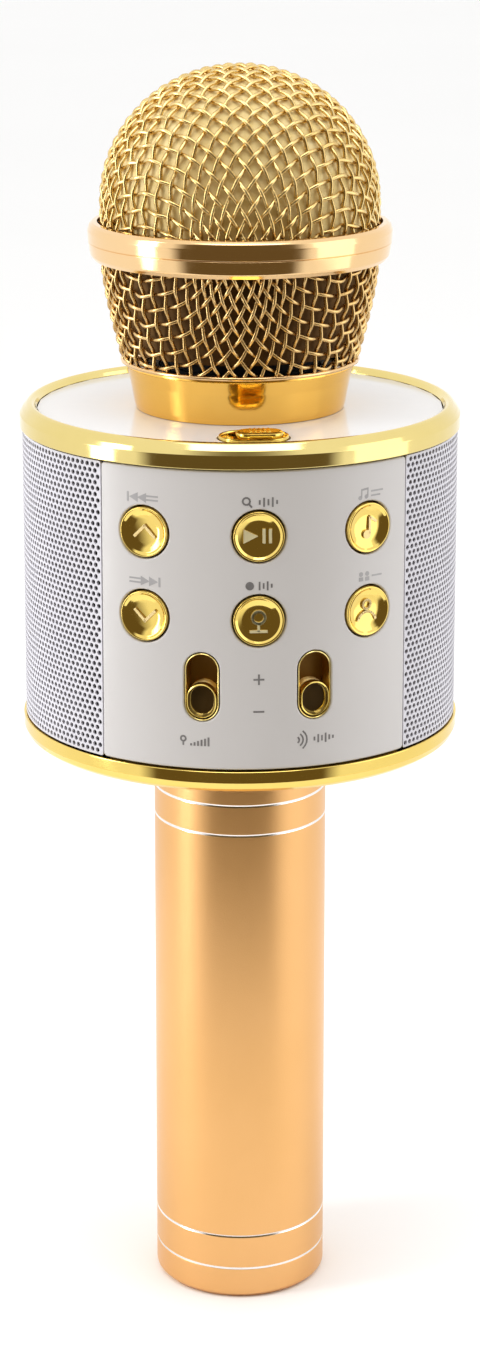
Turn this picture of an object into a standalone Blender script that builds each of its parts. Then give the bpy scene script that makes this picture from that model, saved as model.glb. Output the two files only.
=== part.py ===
"""Handheld karaoke microphone with a loudspeaker drum.

The microphone stands on the flat end of its handle. +Z runs up the handle, the control panel faces -Y,
and the origin is the middle of the handle's flat end. Sizes are in millimetres and become metres when a
mesh is stored. An azimuth is measured from the front (-Y) and grows towards +X.
"""
import math

import bmesh
import bpy
from mathutils import Matrix, Vector

MM = 0.001

# ---- driving dimensions (mm) --------------------------------------------------------------------
CLEARANCE = 0.3          # gap between pieces that touch on the real object

HANDLE_R = 16.1          # outer radius of the handle
TUBE_WALL = 1.3
CAP_TOP = 5.95           # top of the end cap's visible shoulder
TUBE_BOTTOM = 6.25
TUBE_TOP = 109.3
GROOVES = (12.6, 92.3, 98.0)    # fine turned grooves in the tube
GROOVE_DEPTH = 0.2

DRUM_R = 40.0            # outer radius of the panels and speaker grilles
PANEL_WALL = 2.0
PANEL_BOTTOM = 113.0
PANEL_TOP = 166.4
SEAM_AZIMUTH = 42.1      # middle of the seam between the front panel and a speaker grille
SEAM_HALF_ANGLE = 0.22   # half of the gap at that seam
POST_HALF_ANGLE = 2.8    # posts of the inner frame behind the seams
RIM_R = 40.35            # plated rims stand a little proud of the panels
PLATE_TOP = 170.0        # white deck on top of the drum
PLATE_BOTTOM = 168.4
PLATE_R = 36.9
PLATE_BORE = 6.0         # hole for the microphone's wires
GRILLE_WALL = 0.8
GRILLE_INSET = 0.1       # the perforated sheets sit this far under the panels' surface
FRAME_R = 36.9           # skeleton that the panels snap to
FRAME_WALL = 2.1
FRAME_BOTTOM, FRAME_TOP = 111.3, 168.1
WINDOW_BOTTOM, WINDOW_TOP = 116.1, 163.1
BASE_TOP, BASE_BOTTOM = 111.0, 109.6
BASE_R = 37.3
SCREW_RADIUS = 27.0      # distance of the base screws from the axis

COLLAR_BOTTOM = 170.3
COLLAR_TOP = 178.5
COLLAR_BORE = 18.4
THREAD_R, THREAD_BORE = 18.1, 16.9
NECK_R, NECK_BORE = 16.6, 14.9
CAPSULE_R = 12.0
BASKET_FOOT = 178.8
BASKET_FOOT_R = 21.8
BASKET_SPREAD = 3.8      # how much wider the lower cup is under the ring than at its foot
FOAM_WALL = 2.2
FOAM_BOTTOM = 181.0
DOME_R = 25.6
DOME_RISE = 25.0         # height of the dome above its widest level
DOME_CENTRE = 207.6
MESH_WALL = 1.5          # thickness that the woven wire takes up
HEAD_JOIN = 200.4        # level where the two mesh cups meet inside the ring

BUTTON_COLUMN = 29.4     # azimuth of the outer columns
BUTTON_ROWS = (154.9, 139.9)
BUTTON_R = 4.5
BUTTON_HOLE_R = 4.8
FLANGE_R = 5.5

SLIDER_AZIMUTH = 14.3
SLOT_CENTRE = 127.9
SLOT_WIDTH = 6.3         # opening in the panel
SLOT_HEIGHT = 12.5
LINING_GAP = 0.3         # opening in the panel over the lining, on the diameter
LINING_WALL = 0.25
LINING_DEPTH = 3.1
KNOB_WIDTH = 5.0
KNOB_HEIGHT = 6.2
KNOB_REST = 125.45

POWER_Y = -29.2          # centre of the oval power switch on the top plate
POWER_REST = 1.0         # the cap rests this far to the right of the oval's centre
POWER_WINDOW = (13.0, 9.6)
BEZEL_SIZE = (12.4, 9.0)
BEZEL_WALL = 0.6
POWER_CAP = (8.4, 5.0)

SPEAKER_Z = 139.7
SPEAKER_R = 17.8
BAFFLE_X = 28.6          # inner face of the board that a loudspeaker is fixed to
BAFFLE_SIZE = (37.2, 44.0)
BAFFLE_WALL = 2.0
BAFFLE_HOLE_R = 15.9
MAGNET_R = 11.0

BATTERY_R = 9.2
BATTERY_LENGTH = 65.0
BATTERY_BOTTOM = 27.2
TRAY_BOTTOM = 20.6
TRAY_TOP = 95.4
TRAY_WALL = 2.0

PORTS_Z = 140.0          # row of sockets on the rear panel
CARD_AZIMUTH, JACK_AZIMUTH = 158.0, 202.0
CHARGE_SIZE = (7.6, 3.1)
CARD_SIZE = (12.6, 2.4)
JACK_R = 3.2
BOARD_SIZE = (44.0, 40.0)

DRUM_SIDES = 44          # facets round the rims and the deck
OUTER_SIDES = 36         # facets round the head, the handle and the inner frame
SMALL_SIDES = 16         # facets round small and hidden pieces
PANEL_STEPS = 11         # facets across a panel

# ---- turned profiles, (radius, height) in mm -----------------------------------------------------
RING_PROFILE = [(25.9, 197.2), (26.3, 197.2), (26.4, 198.0), (27.2, 198.8), (27.55, 200.3), (27.3, 200.7),
                (27.65, 201.1), (27.7, 202.6), (27.4, 203.6), (26.8, 204.1), (25.9, 204.2)]
COLLAR_PROFILE = [(COLLAR_BORE, COLLAR_BOTTOM), (19.1, COLLAR_BOTTOM), (19.4, 171.0), (19.7, 173.0),
                  (20.2, 175.6), (20.85, 177.9), (20.9, COLLAR_TOP), (COLLAR_BORE, COLLAR_TOP)]
TOP_RIM_PROFILE = [(PLATE_R + CLEARANCE, PANEL_TOP + CLEARANCE), (RIM_R, PANEL_TOP + CLEARANCE), (RIM_R, 169.1),
                   (39.85, 169.95), (39.0, 170.95), (38.3, 171.3), (37.6, 170.9), (PLATE_R + CLEARANCE, 170.3)]
BOTTOM_RIM_PROFILE = [(37.6, 108.6), (39.0, 108.8), (39.9, 109.5), (RIM_R, 110.6), (RIM_R, 112.7), (37.6, 112.7)]


# ---- scene and materials ------------------------------------------------------------------------
def clear_scene():
    for leftover in list(bpy.data.objects):
        bpy.data.objects.remove(leftover, do_unlink=True)


def material(name, colour, roughness, metallic=0.0):
    result = bpy.data.materials.new(name)
    result.use_nodes = True
    shader = result.node_tree.nodes["Principled BSDF"]
    shader.inputs["Base Color"].default_value = (*colour, 1.0)
    shader.inputs["Roughness"].default_value = roughness
    shader.inputs["Metallic"].default_value = metallic
    return result


def make_materials():
    return {
        "mesh_gold": material("mesh_gold", (0.62, 0.45, 0.20), 0.35, 1.0),
        "ring_gold": material("ring_gold", (0.83, 0.60, 0.34), 0.18, 1.0),
        "collar_gold": material("collar_gold", (0.85, 0.50, 0.15), 0.35, 1.0),
        "plated_gold": material("plated_gold", (0.83, 0.62, 0.16), 0.12, 1.0),
        "handle_gold": material("handle_gold", (0.78, 0.50, 0.26), 0.38, 1.0),
        "white_gloss": material("white_gloss", (0.80, 0.79, 0.79), 0.15),
        "white_metal": material("white_metal", (0.68, 0.68, 0.72), 0.40),
        "foam": material("foam", (0.45, 0.34, 0.16), 0.95),
        "rubber": material("rubber", (0.03, 0.03, 0.03), 0.80),
        "black_plastic": material("black_plastic", (0.03, 0.03, 0.035), 0.50),
        "circuit_board": material("circuit_board", (0.02, 0.16, 0.07), 0.45),
        "steel": material("steel", (0.55, 0.55, 0.56), 0.30, 1.0),
        "magnet": material("magnet", (0.09, 0.09, 0.10), 0.55),
        "paper_cone": material("paper_cone", (0.04, 0.04, 0.04), 0.85),
        "cell_wrap": material("cell_wrap", (0.10, 0.35, 0.22), 0.35),
    }


# ---- shape helpers (all in mm) ------------------------------------------------------------------
def place(azimuth, radius=0.0, z=0.0):
    """Frame on the drum: local X is tangential, local Y is up and local Z points outwards."""
    a = math.radians(azimuth)
    outward = Vector((math.sin(a), -math.cos(a), 0.0))
    sideways = Vector((math.cos(a), math.sin(a), 0.0))
    matrix = Matrix.Identity(4)
    for row in range(3):
        matrix[row][0] = sideways[row]
        matrix[row][1] = 1.0 if row == 2 else 0.0
        matrix[row][2] = outward[row]
    matrix.translation = outward * radius + Vector((0.0, 0.0, z))
    return matrix


def store(name, shape, finish, matrix=None, parent=None):
    """Turn a bmesh in mm into a named object in metres at the given placement."""
    matrix = matrix or Matrix.Identity(4)
    bmesh.ops.recalc_face_normals(shape, faces=shape.faces)
    bmesh.ops.scale(shape, vec=(MM, MM, MM), verts=shape.verts)
    mesh = bpy.data.meshes.new(name)
    shape.to_mesh(mesh)
    shape.free()
    mesh.shade_smooth()
    mesh.set_sharp_from_angle(angle=math.radians(30.0))
    piece = bpy.data.objects.new(name, mesh)
    bpy.context.collection.objects.link(piece)
    placed = matrix.copy()
    placed.translation = matrix.translation * MM
    piece.matrix_world = placed
    if finish:
        mesh.materials.append(finish)
    if parent:
        piece.parent = parent
        piece.matrix_parent_inverse = parent.matrix_world.inverted()
    return piece


def turned(outline, segments):
    """Solid of revolution about local Z from (radius, height) points; radius 0 closes on the axis."""
    shape = bmesh.new()
    rings = []
    for radius, height in outline:
        if radius == 0.0:
            rings.append([shape.verts.new((0.0, 0.0, height))])
            continue
        ring = []
        for step in range(segments):
            a = 2.0 * math.pi * step / segments
            ring.append(shape.verts.new((radius * math.cos(a), radius * math.sin(a), height)))
        rings.append(ring)
    pairs = list(zip(rings, rings[1:]))
    if outline[0][0] != 0.0:
        pairs.append((rings[-1], rings[0]))
    for low, high in pairs:
        for step in range(segments):
            following = (step + 1) % segments
            corners = [low[step % len(low)], low[following % len(low)],
                       high[following % len(high)], high[step % len(high)]]
            unique = list(dict.fromkeys(corners))
            if len(unique) > 2:
                shape.faces.new(unique)
    return shape


def sector(r_in, r_out, z_low, z_high, azimuth_low, azimuth_high, steps):
    """Part of an upright tube between two azimuths."""
    shape = bmesh.new()
    columns = []
    for step in range(steps + 1):
        a = math.radians(azimuth_low + (azimuth_high - azimuth_low) * step / steps)
        corners = ((r_in, z_low), (r_out, z_low), (r_out, z_high), (r_in, z_high))
        columns.append([shape.verts.new((r * math.sin(a), -r * math.cos(a), z)) for r, z in corners])
    for before, after in zip(columns, columns[1:]):
        for side in range(4):
            other = (side + 1) % 4
            shape.faces.new((before[side], before[other], after[other], after[side]))
    shape.faces.new(columns[0])
    shape.faces.new(columns[-1])
    return shape


def lofted(levels, ring=False):
    """Join (outline, height) loops in order; the ends are capped, or joined to each other for a ring."""
    shape = bmesh.new()
    loops = []
    for outline, height in levels:
        loops.append([shape.verts.new((x, y, height)) for x, y in outline])
    pairs = list(zip(loops, loops[1:]))
    if ring:
        pairs.append((loops[-1], loops[0]))
    else:
        shape.faces.new(loops[0])
        shape.faces.new(loops[-1])
    count = len(loops[0])
    for loop, following in pairs:
        for step in range(count):
            other = (step + 1) % count
            shape.faces.new((loop[step], loop[other], following[other], following[step]))
    return shape


def prism(outline, low, high):
    """Extrude a flat (x, y) outline along local Z."""
    return lofted([(outline, low), (outline, high)])


def tube_prism(outer, inner, low, high):
    """Extruded ring between two outlines that have the same number of points."""
    return lofted([(outer, low), (outer, high), (inner, high), (inner, low)], ring=True)


def socket_shape(outer, inner, low, high, floor):
    """Open box whose mouth is at the high end and whose closed floor is a given thickness."""
    return lofted([(outer, low), (outer, high), (inner, high), (inner, low + floor)])


def rectangle(width, height):
    return [(-width / 2, -height / 2), (width / 2, -height / 2),
            (width / 2, height / 2), (-width / 2, height / 2)]


def stadium(width, height, steps=8):
    """Round-ended slot outline, taller or wider as its two sizes say."""
    r = min(width, height) / 2
    along_x = width > height
    straight = abs(width - height) / 2
    points = []
    for end in (1, -1):
        for step in range(steps + 1):
            a = math.pi * step / steps - (math.pi / 2 if along_x else 0.0)
            x, y = r * math.cos(a), r * math.sin(a)
            x += straight if along_x else 0.0
            y += 0.0 if along_x else straight
            points.append((end * x, end * y))
    return points


def cut(piece, cutter_shape, name, matrix=None):
    """Subtract a shape from a piece with a Boolean modifier."""
    cutter = store(name, cutter_shape, None, matrix)
    cutter.hide_render = True
    cutter.display_type = "WIRE"
    modifier = piece.modifiers.new(name, "BOOLEAN")
    modifier.operation = "DIFFERENCE"
    modifier.solver = "EXACT"
    modifier.object = cutter


# ---- head: everything above the collar's joint --------------------------------------------------
def basket_radius(z):
    """Outer radius of the lower mesh cup: nearly upright under the ring, drawn in at the collar."""
    height = (z - BASKET_FOOT) / (HEAD_JOIN - BASKET_FOOT)
    return BASKET_FOOT_R + BASKET_SPREAD * math.sin(min(1.0, height) * math.pi / 2) ** 1.05


def dome_outline(shrink):
    """(radius, z) points of the dome from the level where the cups meet up to the crown."""
    points = [(DOME_R - shrink, HEAD_JOIN + 0.2)]
    for degrees in (0, 18, 36, 54, 72):
        a = math.radians(degrees)
        points.append(((DOME_R - shrink) * math.cos(a),
                       DOME_CENTRE + (DOME_RISE - shrink) * math.sin(a)))
    points.append((0.0, DOME_CENTRE + DOME_RISE - shrink))
    return points


def basket_outline(shrink, z_low, z_high, steps=5):
    levels = [z_low + (z_high - z_low) * step / steps for step in range(steps + 1)]
    return [(basket_radius(z) - shrink, z) for z in levels]


def make_head(finishes):
    axis = bpy.data.objects.new("head_axis", None)
    axis.location = (0.0, 0.0, COLLAR_BOTTOM * MM)
    bpy.context.collection.objects.link(axis)
    bpy.context.view_layer.update()

    dome = dome_outline(0.0) + dome_outline(MESH_WALL)[::-1]
    basket = basket_outline(0.0, BASKET_FOOT, HEAD_JOIN - 0.2)
    basket += basket_outline(MESH_WALL, BASKET_FOOT, HEAD_JOIN - 0.2)[::-1]
    foam_gap = MESH_WALL + CLEARANCE
    foam = basket_outline(foam_gap, FOAM_BOTTOM, HEAD_JOIN, 3) + dome_outline(foam_gap)
    foam += (basket_outline(foam_gap + FOAM_WALL, FOAM_BOTTOM, HEAD_JOIN, 3)
             + dome_outline(foam_gap + FOAM_WALL))[::-1]
    store("grille_dome", turned(dome, OUTER_SIDES), finishes["mesh_gold"], parent=axis)
    store("grille_basket", turned(basket, OUTER_SIDES), finishes["mesh_gold"], parent=axis)
    store("grille_ring", turned(RING_PROFILE, OUTER_SIDES), finishes["ring_gold"], parent=axis)
    store("grille_collar", turned(COLLAR_PROFILE, OUTER_SIDES), finishes["collar_gold"], parent=axis)
    store("foam_liner", turned(foam, SMALL_SIDES), finishes["foam"], parent=axis)


def make_neck(finishes):
    thread = [(THREAD_BORE, 171.0), (THREAD_R, 171.0), (THREAD_R, 177.3), (THREAD_BORE, 177.3)]
    neck = [(NECK_BORE, COLLAR_BOTTOM), (NECK_R, COLLAR_BOTTOM), (NECK_R, 177.8), (NECK_BORE, 177.8)]
    cup_bore, cup_r = CAPSULE_R + CLEARANCE, CAPSULE_R + 1.5
    flange_r = NECK_BORE - CLEARANCE
    cup = [(0.0, 174.0), (flange_r, 174.0), (flange_r, 178.1), (cup_r, 178.1), (cup_r, 192.0), (cup_bore, 192.0),
           (cup_bore, 183.0), (0.0, 183.0)]
    capsule = [(0.0, 183.3), (CAPSULE_R, 183.3), (CAPSULE_R, 191.4), (CAPSULE_R - 1.0, 193.0), (0.0, 193.4)]
    store("collar_thread_ring", turned(thread, OUTER_SIDES), finishes["black_plastic"])
    store("neck_boss", turned(neck, OUTER_SIDES), finishes["black_plastic"])
    store("capsule_cup", turned(cup, SMALL_SIDES), finishes["rubber"])
    store("mic_capsule", turned(capsule, SMALL_SIDES), finishes["steel"])


# ---- top of the drum ----------------------------------------------------------------------------
def make_top(finishes):
    deck = [(PLATE_BORE, PLATE_BOTTOM), (PLATE_R, PLATE_BOTTOM), (PLATE_R, PLATE_TOP), (PLATE_BORE, PLATE_TOP)]
    plate = store("top_plate", turned(deck, DRUM_SIDES), finishes["white_gloss"])
    at_switch = Matrix.Translation((0.0, POWER_Y, 0.0))
    cut(plate, prism(stadium(*POWER_WINDOW), 160.0, 180.0), "cut_power_window", at_switch)
    store("top_rim", turned(TOP_RIM_PROFILE, DRUM_SIDES), finishes["plated_gold"])
    opening = stadium(*(size - 2 * BEZEL_WALL for size in BEZEL_SIZE))
    bezel = tube_prism(stadium(*BEZEL_SIZE), opening, 168.6, 170.6)
    store("power_bezel", bezel, finishes["plated_gold"], at_switch)
    knob = prism(stadium(*POWER_CAP, 6), -1.5, 1.8)
    at_knob = Matrix.Translation((POWER_REST, POWER_Y - 0.3, PLATE_TOP))
    store("power_knob", knob, finishes["plated_gold"], at_knob)
    store("power_switch", prism(rectangle(10.0, 5.4), 162.5, 168.0), finishes["black_plastic"], at_switch)


# ---- drum shell ---------------------------------------------------------------------------------
def make_shell(finishes):
    half = SEAM_AZIMUTH - SEAM_HALF_ANGLE
    side_half = 90.0 - SEAM_AZIMUTH - SEAM_HALF_ANGLE
    inner = DRUM_R - PANEL_WALL
    front = store("front_panel", sector(inner, DRUM_R, PANEL_BOTTOM, PANEL_TOP, -half, half, PANEL_STEPS),
                  finishes["white_gloss"])
    for column, azimuth in enumerate((-BUTTON_COLUMN, 0.0, BUTTON_COLUMN)):
        for row, z in enumerate(BUTTON_ROWS):
            hole = turned([(0.0, 30.0), (BUTTON_HOLE_R, 30.0), (BUTTON_HOLE_R, 50.0), (0.0, 50.0)], SMALL_SIDES)
            cut(front, hole, f"cut_button_{column}_{row}", place(azimuth, 0.0, z))
    for side, azimuth in enumerate((-SLIDER_AZIMUTH, SLIDER_AZIMUTH)):
        slot = prism(stadium(SLOT_WIDTH, SLOT_HEIGHT), 30.0, 50.0)
        cut(front, slot, f"cut_slot_{side}", place(azimuth, 0.0, SLOT_CENTRE))

    rear = store("rear_panel", sector(inner, DRUM_R, PANEL_BOTTOM, PANEL_TOP, 180 - half, 180 + half, PANEL_STEPS),
                 finishes["white_gloss"])
    for port, size, azimuth in (("charge", CHARGE_SIZE, 180.0), ("card", CARD_SIZE, CARD_AZIMUTH)):
        hole = rectangle(size[0] + 2 * CLEARANCE, size[1] + 2 * CLEARANCE)
        cut(rear, prism(hole, 30.0, 50.0), f"cut_{port}", place(azimuth, 0.0, PORTS_Z))
    hole_r = JACK_R + CLEARANCE
    jack_hole = turned([(0.0, 30.0), (hole_r, 30.0), (hole_r, 50.0), (0.0, 50.0)], SMALL_SIDES)
    cut(rear, jack_hole, "cut_jack", place(JACK_AZIMUTH, 0.0, PORTS_Z))

    for name, azimuth in (("speaker_grille_left", -90.0), ("speaker_grille_right", 90.0)):
        outer = DRUM_R - GRILLE_INSET
        sheet = sector(outer - GRILLE_WALL, outer, PANEL_BOTTOM, PANEL_TOP,
                       azimuth - side_half, azimuth + side_half, PANEL_STEPS)
        store(name, sheet, finishes["white_metal"])

    skeleton = [(FRAME_R - FRAME_WALL, FRAME_BOTTOM), (FRAME_R, FRAME_BOTTOM), (FRAME_R, FRAME_TOP),
                (FRAME_R - FRAME_WALL, FRAME_TOP)]
    frame = store("inner_frame", turned(skeleton, OUTER_SIDES), finishes["black_plastic"])
    front_window = SEAM_AZIMUTH - POST_HALF_ANGLE
    side_window = 90.0 - SEAM_AZIMUTH - POST_HALF_ANGLE
    for quarter in range(4):
        reach = side_window if quarter % 2 else front_window
        window = sector(30.0, 42.0, WINDOW_BOTTOM, WINDOW_TOP, quarter * 90.0 - reach, quarter * 90.0 + reach, 4)
        cut(frame, window, f"cut_window_{quarter}")


def make_base(finishes):
    store("bottom_rim", turned(BOTTOM_RIM_PROFILE, DRUM_SIDES), finishes["plated_gold"])
    bore = HANDLE_R - TUBE_WALL
    disc = [(bore, BASE_BOTTOM), (BASE_R, BASE_BOTTOM), (BASE_R, BASE_TOP), (bore, BASE_TOP)]
    plate = store("bottom_plate", turned(disc, OUTER_SIDES), finishes["black_plastic"])
    screw = [(0.0, 108.7), (2.3, 108.7), (2.3, 109.3), (1.1, 109.3), (1.1, 115.0), (0.0, 115.0)]
    for name, degrees in (("base_screw_left", 185.0), ("base_screw_right", 5.0)):
        turn = Matrix.Rotation(math.radians(degrees), 4, "Z")
        at_screw = turn @ Matrix.Translation((SCREW_RADIUS, 0.0, 0.0))
        hole = turned([(0.0, 105.0), (1.4, 105.0), (1.4, 120.0), (0.0, 120.0)], SMALL_SIDES)
        cut(plate, hole, f"cut_{name}", at_screw)
        store(name, turned(screw, SMALL_SIDES), finishes["steel"], at_screw)


# ---- controls -----------------------------------------------------------------------------------
def button_shape():
    """Dished cap, retaining flange and stem; heights are measured from the drum's surface."""
    outline = [(0.0, -4.4), (1.5, -4.4), (1.5, -3.6), (FLANGE_R, -3.6), (FLANGE_R, -2.8),
               (BUTTON_R, -2.8), (BUTTON_R, 0.0), (BUTTON_R - 0.2, 0.2), (3.9, 0.12), (2.6, -0.15), (0.0, -0.25)]
    return turned(outline, SMALL_SIDES)


def tact_switch_shape():
    """Square body with a short plunger boss on its outward face."""
    body, boss = rectangle(6.0, 6.0), rectangle(2.2, 2.2)
    return lofted([(body, 33.1), (body, 34.3), (boss, 34.3), (boss, 34.8)])


def knob_shape():
    """Round-ended slider cap with a hollow in its outward end."""
    lip, hollow = 0.45, 0.9
    outer = stadium(KNOB_WIDTH, KNOB_HEIGHT, 6)
    inner = stadium(KNOB_WIDTH - 2 * lip, KNOB_HEIGHT - 2 * lip, 6)
    low, high = -3.8, 0.25
    return socket_shape(outer, inner, low, high, high - low - hollow)


def make_controls(finishes):
    names = (("button_prev", "button_next"), ("button_play", "button_record"),
             ("button_upper_right", "button_lower_right"))
    for azimuth, column in zip((-BUTTON_COLUMN, 0.0, BUTTON_COLUMN), names):
        for z, name in zip(BUTTON_ROWS, column):
            store(name, button_shape(), finishes["plated_gold"], place(azimuth, DRUM_R, z))
            switch = name.replace("button", "tact_switch")
            store(switch, tact_switch_shape(), finishes["black_plastic"], place(azimuth, 0.0, z))
    carrier = sector(31.6, 32.8, 118.5, 162.0, -37.0, 37.0, 8)
    store("switch_board", carrier, finishes["circuit_board"])
    for side, azimuth in (("mic", -SLIDER_AZIMUTH), ("remix", SLIDER_AZIMUTH)):
        outer = (SLOT_WIDTH - LINING_GAP, SLOT_HEIGHT - LINING_GAP)
        inner = stadium(*(size - 2 * LINING_WALL for size in outer))
        lining = tube_prism(stadium(*outer), inner, -LINING_DEPTH, 0.0)
        store(f"slot_bezel_{side}", lining, finishes["plated_gold"], place(azimuth, DRUM_R, SLOT_CENTRE))
        store(f"slider_knob_{side}", knob_shape(), finishes["plated_gold"],
              place(azimuth, DRUM_R, KNOB_REST))
        store(f"slide_pot_{side}", prism(rectangle(4.6, 12.0), 33.1, 35.9), finishes["black_plastic"],
              place(azimuth, 0.0, SLOT_CENTRE))


# ---- loudspeakers, board and sockets ------------------------------------------------------------
def make_speakers(finishes):
    magnet = [(0.0, 15.2), (MAGNET_R, 15.2), (MAGNET_R, 21.7), (0.0, 21.7)]
    frame = [(SPEAKER_R, 30.9), (SPEAKER_R, 32.1), (15.0, 32.1), (14.6, 31.0), (8.2, 23.0), (6.5, 23.0),
             (6.5, 22.0), (9.0, 22.0), (15.5, 30.9)]
    cone = [(0.0, 26.2), (6.0, 24.6), (13.2, 30.6), (14.3, 31.1), (14.3, 31.6), (13.0, 31.2),
            (6.0, 25.4), (4.5, 26.2), (0.0, 27.2)]
    for side, azimuth in (("left", -90.0), ("right", 90.0)):
        here = place(azimuth, 0.0, SPEAKER_Z)
        baffle = store(f"baffle_{side}", prism(rectangle(*BAFFLE_SIZE), BAFFLE_X, BAFFLE_X + BAFFLE_WALL),
                       finishes["black_plastic"], here)
        hole = turned([(0.0, 20.0), (BAFFLE_HOLE_R, 20.0), (BAFFLE_HOLE_R, 40.0), (0.0, 40.0)], SMALL_SIDES)
        cut(baffle, hole, f"cut_baffle_{side}", here)
        store(f"speaker_frame_{side}", turned(frame, SMALL_SIDES), finishes["steel"], here)
        store(f"speaker_magnet_{side}", turned(magnet, SMALL_SIDES), finishes["magnet"], here)
        store(f"speaker_cone_{side}", turned(cone, SMALL_SIDES), finishes["paper_cone"], here)


def make_electronics(finishes):
    board = prism(rectangle(*BOARD_SIZE), 17.2, 18.8)
    store("main_board", board, finishes["circuit_board"], place(180.0, 0.0, PORTS_Z))
    charge_wall, card_wall, floor = 0.35, 0.7, 0.6
    mouth = rectangle(*(size - 2 * charge_wall for size in CHARGE_SIZE))
    charge = socket_shape(rectangle(*CHARGE_SIZE), mouth, 34.0, 39.2, floor)
    store("charge_port", charge, finishes["steel"], place(180.0, 0.0, PORTS_Z))
    mouth = rectangle(*(size - 2 * card_wall for size in CARD_SIZE))
    card = socket_shape(rectangle(*CARD_SIZE), mouth, 28.0, 38.9, floor)
    store("card_slot", card, finishes["black_plastic"], place(CARD_AZIMUTH, 0.0, PORTS_Z))
    jack = turned([(0.0, 26.0), (JACK_R, 26.0), (JACK_R, 39.3), (1.8, 39.3), (1.8, 27.0), (0.0, 27.0)], SMALL_SIDES)
    store("aux_jack", jack, finishes["black_plastic"], place(JACK_AZIMUTH, 0.0, PORTS_Z))


# ---- handle -------------------------------------------------------------------------------------
def tube_outline():
    bore = HANDLE_R - TUBE_WALL
    points = [(bore, TUBE_BOTTOM), (HANDLE_R, TUBE_BOTTOM)]
    for z in GROOVES:
        points += [(HANDLE_R, z - 0.25), (HANDLE_R - GROOVE_DEPTH, z), (HANDLE_R, z + 0.25)]
    return points + [(HANDLE_R, TUBE_TOP), (bore, TUBE_TOP)]


def make_handle(finishes):
    plug_r = HANDLE_R - TUBE_WALL - CLEARANCE
    store("handle_tube", turned(tube_outline(), OUTER_SIDES), finishes["handle_gold"])
    cap = [(0.0, 0.0), (15.5, 0.0), (15.9, 0.15), (HANDLE_R, 0.6), (HANDLE_R, CAP_TOP), (plug_r, CAP_TOP),
           (plug_r, 16.0), (0.0, 16.0)]
    store("end_cap", turned(cap, OUTER_SIDES), finishes["handle_gold"])
    socket = [(12.0, 96.3), (plug_r, 96.3), (plug_r, 111.3), (19.0, 111.3), (19.0, 113.3), (12.0, 113.3)]
    store("handle_socket", turned(socket, SMALL_SIDES), finishes["black_plastic"])

    tray_r = BATTERY_R + TRAY_WALL
    tray = store("battery_tray", turned([(0.0, TRAY_BOTTOM), (tray_r, TRAY_BOTTOM), (tray_r, TRAY_TOP),
                                         (0.0, TRAY_TOP)], SMALL_SIDES), finishes["black_plastic"])
    room_low, room_high = TRAY_BOTTOM + TRAY_WALL, TRAY_TOP - TRAY_WALL
    room_r = BATTERY_R + 0.4
    bore = turned([(0.0, room_low), (room_r, room_low), (room_r, room_high), (0.0, room_high)], SMALL_SIDES)
    cut(tray, bore, "cut_tray_room")
    mouth = prism([(-room_r, -20.0), (room_r, -20.0), (room_r, 0.0), (-room_r, 0.0)], room_low, room_high)
    cut(tray, mouth, "cut_tray_mouth")
    cell_top = BATTERY_BOTTOM + BATTERY_LENGTH
    cell = [(0.0, BATTERY_BOTTOM), (BATTERY_R, BATTERY_BOTTOM), (BATTERY_R, cell_top - 1.0),
            (3.0, cell_top - 1.0), (3.0, cell_top), (0.0, cell_top)]
    store("battery_cell", turned(cell, SMALL_SIDES), finishes["cell_wrap"])
    spring_low, spring_high = room_low + CLEARANCE, BATTERY_BOTTOM - CLEARANCE
    spring = [(4.4, spring_low), (5.2, spring_low), (3.2, spring_high), (2.4, spring_high)]
    store("battery_spring", turned(spring, SMALL_SIDES), finishes["steel"])


def main():
    clear_scene()
    finishes = make_materials()
    make_head(finishes)
    make_neck(finishes)
    make_top(finishes)
    make_shell(finishes)
    make_base(finishes)
    make_controls(finishes)
    make_speakers(finishes)
    make_electronics(finishes)
    make_handle(finishes)


main()
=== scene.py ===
"""Looks of the handheld karaoke microphone: detailed pieces, procedural finishes, light and camera.

Lengths are in millimetres and become metres when a mesh is stored. The frame is the part's own: +Z runs up
the handle, the control panel faces -Y, and an azimuth is measured from the front (-Y) towards +X.
"""

from math import atan2, ceil, cos, dist, hypot, pi, radians, sin, sqrt, tan

import bpy
import numpy as np
from mathutils import Matrix, Vector
from mathutils.geometry import delaunay_2d_cdt


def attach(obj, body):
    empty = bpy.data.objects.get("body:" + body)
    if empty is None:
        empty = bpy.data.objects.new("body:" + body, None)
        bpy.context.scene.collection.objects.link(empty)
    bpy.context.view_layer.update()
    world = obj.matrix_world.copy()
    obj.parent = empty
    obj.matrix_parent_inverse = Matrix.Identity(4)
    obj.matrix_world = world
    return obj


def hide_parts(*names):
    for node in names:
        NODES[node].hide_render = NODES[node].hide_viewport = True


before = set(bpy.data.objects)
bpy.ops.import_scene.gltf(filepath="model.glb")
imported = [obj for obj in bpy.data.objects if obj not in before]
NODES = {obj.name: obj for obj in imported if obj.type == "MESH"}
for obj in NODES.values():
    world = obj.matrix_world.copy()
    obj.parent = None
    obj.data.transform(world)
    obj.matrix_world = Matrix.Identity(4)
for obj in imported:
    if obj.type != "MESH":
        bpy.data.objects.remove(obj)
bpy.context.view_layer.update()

MM = 0.001

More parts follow.
